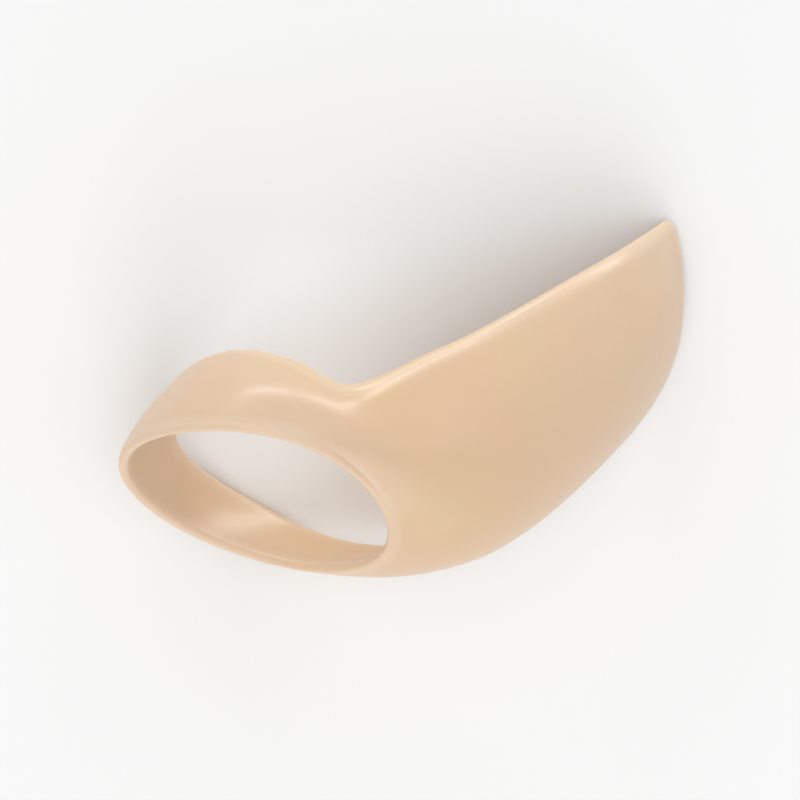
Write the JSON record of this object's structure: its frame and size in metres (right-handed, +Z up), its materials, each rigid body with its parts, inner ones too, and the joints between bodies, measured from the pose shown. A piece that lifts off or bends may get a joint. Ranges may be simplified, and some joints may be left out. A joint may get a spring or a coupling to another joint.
{
  "type": "bunion pad",
  "caption": "Soft one-piece elastomer bunion pad: an oval toe loop whose band widens into a thin cupped wing that covers the side of the big-toe joint.",
  "frame": {"origin": "middle of the bounding box's base, on the level surface that the pad lies on", "axes": "+Z up as the pad lies by itself, hollow side down; +X towards the toe loop and -X towards the wing's tip, which is the longest extent"},
  "size_m": [0.0678, 0.0338, 0.0253],
  "materials": {
    "elastomer": "satin, faintly translucent beige moulded elastomer with smooth rounded rims"
  },
  "bodies": {
    "root": {"bunion_pad": "elastomer"}
  },
  "joints": []
}
